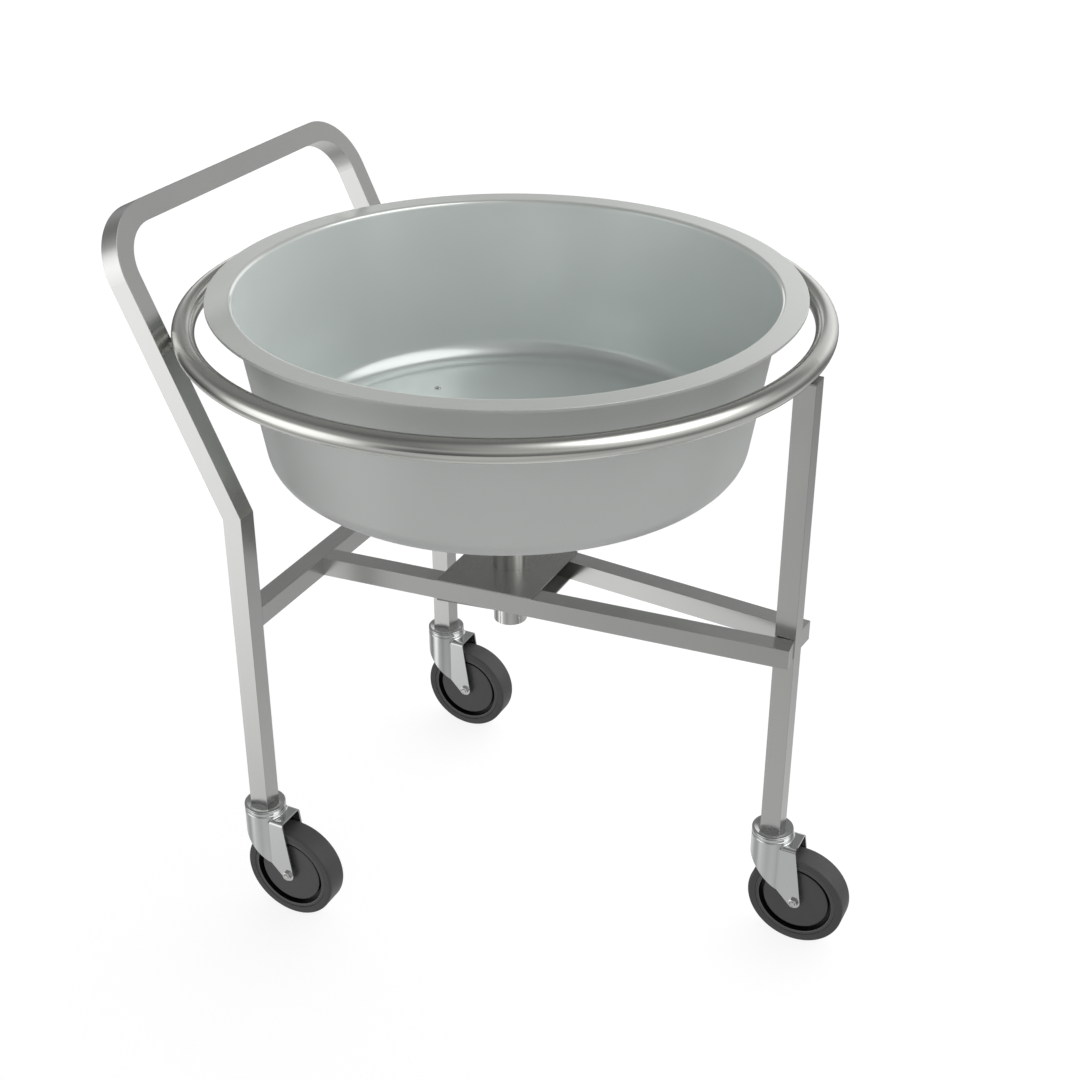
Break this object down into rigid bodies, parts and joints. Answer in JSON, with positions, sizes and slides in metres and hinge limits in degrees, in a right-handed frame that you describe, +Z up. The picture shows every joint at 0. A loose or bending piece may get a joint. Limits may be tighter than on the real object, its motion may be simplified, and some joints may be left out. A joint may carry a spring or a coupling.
{
  "type": "revolving bowl trolley",
  "caption": "Three-legged stainless trolley with a wide shallow bowl that turns on a central pivot, a round bumper ring, a leaning push handle and swivel casters.",
  "frame": {"origin": "on the floor under the middle of the whole outline with all casters trailing forward", "axes": "+X forward from the handle to the single front leg, +Y to the pusher's left, +Z up"},
  "size_m": [0.8691, 0.7646, 0.9077],
  "materials": {
    "satin_tube": "satin stainless steel tube",
    "polished_tube": "polished stainless steel",
    "plate_steel": "smooth stainless steel sheet",
    "bowl_steel": "fine satin spun stainless steel",
    "bright_steel": "bright steel",
    "zinc_steel": "bright zinc plated pressed steel",
    "bronze": "plain bearing bronze",
    "bush_plastic": "natural nylon",
    "core_plastic": "matt black moulded plastic",
    "tyre_rubber": "charcoal solid rubber"
  },
  "bodies": {
    "frame": {"front_leg": "satin_tube", "front_leg_cap": "satin_tube", "rear_leg_left": "satin_tube", "rear_leg_right": "satin_tube", "push_handle": "satin_tube", "rear_crossbar": "satin_tube", "rail_left": "satin_tube", "rail_right": "satin_tube", "rail_caps": "satin_tube", "ring_lugs": "satin_tube", "upper_pivot_plate": "plate_steel", "lower_pivot_plate": "plate_steel", "hub_tube": "polished_tube", "bumper_ring": "polished_tube", "upper_hub_bush": "bronze", "lower_hub_bush": "bronze", "thrust_washer": "bronze", "leg_insert_front": "bright_steel", "caster_cup_front": "zinc_steel", "king_bolt_front": "bright_steel", "leg_insert_left": "bright_steel", "caster_cup_left": "zinc_steel", "king_bolt_left": "bright_steel", "leg_insert_right": "bright_steel", "caster_cup_right": "zinc_steel", "king_bolt_right": "bright_steel"},
    "bowl": {"bowl": "bowl_steel", "bowl_carrier": "plate_steel", "bowl_screws": "bright_steel", "bowl_nuts": "bright_steel", "spindle": "bright_steel", "spindle_washer": "bright_steel", "retaining_ring": "bright_steel"},
    "caster_front": {"fork_front": "zinc_steel", "seal_ring_front": "zinc_steel", "race_balls_front": "bright_steel", "axle_bolt_front": "bright_steel", "axle_nut_front": "bright_steel"},
    "wheel_front": {"wheel_bush_front": "bush_plastic", "wheel_core_front": "core_plastic", "tyre_front": "tyre_rubber"},
    "caster_left": {"fork_left": "zinc_steel", "seal_ring_left": "zinc_steel", "race_balls_left": "bright_steel", "axle_bolt_left": "bright_steel", "axle_nut_left": "bright_steel"},
    "wheel_left": {"wheel_bush_left": "bush_plastic", "wheel_core_left": "core_plastic", "tyre_left": "tyre_rubber"},
    "caster_right": {"fork_right": "zinc_steel", "seal_ring_right": "zinc_steel", "race_balls_right": "bright_steel", "axle_bolt_right": "bright_steel", "axle_nut_right": "bright_steel"},
    "wheel_right": {"wheel_bush_right": "bush_plastic", "wheel_core_right": "core_plastic", "tyre_right": "tyre_rubber"}
  },
  "joints": [
    {"name": "bowl_spin", "type": "hinge", "parent": "frame", "child": "bowl", "pos_m": [-0.03492, 0, 0.582], "axis": [0, 0, 1], "continuous": true},
    {"name": "swivel_front", "type": "hinge", "parent": "frame", "child": "caster_front", "pos_m": [0.33213, 0, 0.148], "axis": [0, 0, 1], "continuous": true},
    {"name": "roll_front", "type": "hinge", "parent": "caster_front", "child": "wheel_front", "pos_m": [0.37213, 0, 0.0625], "axis": [0, 1, 0], "continuous": true},
    {"name": "swivel_left", "type": "hinge", "parent": "frame", "child": "caster_left", "pos_m": [-0.26671, 0.238, 0.148], "axis": [0, 0, 1], "continuous": true},
    {"name": "roll_left", "type": "hinge", "parent": "caster_left", "child": "wheel_left", "pos_m": [-0.22671, 0.238, 0.0625], "axis": [0, 1, 0], "continuous": true},
    {"name": "swivel_right", "type": "hinge", "parent": "frame", "child": "caster_right", "pos_m": [-0.26671, -0.238, 0.148], "axis": [0, 0, 1], "continuous": true},
    {"name": "roll_right", "type": "hinge", "parent": "caster_right", "child": "wheel_right", "pos_m": [-0.22671, -0.238, 0.0625], "axis": [0, 1, 0], "continuous": true}
  ]
}
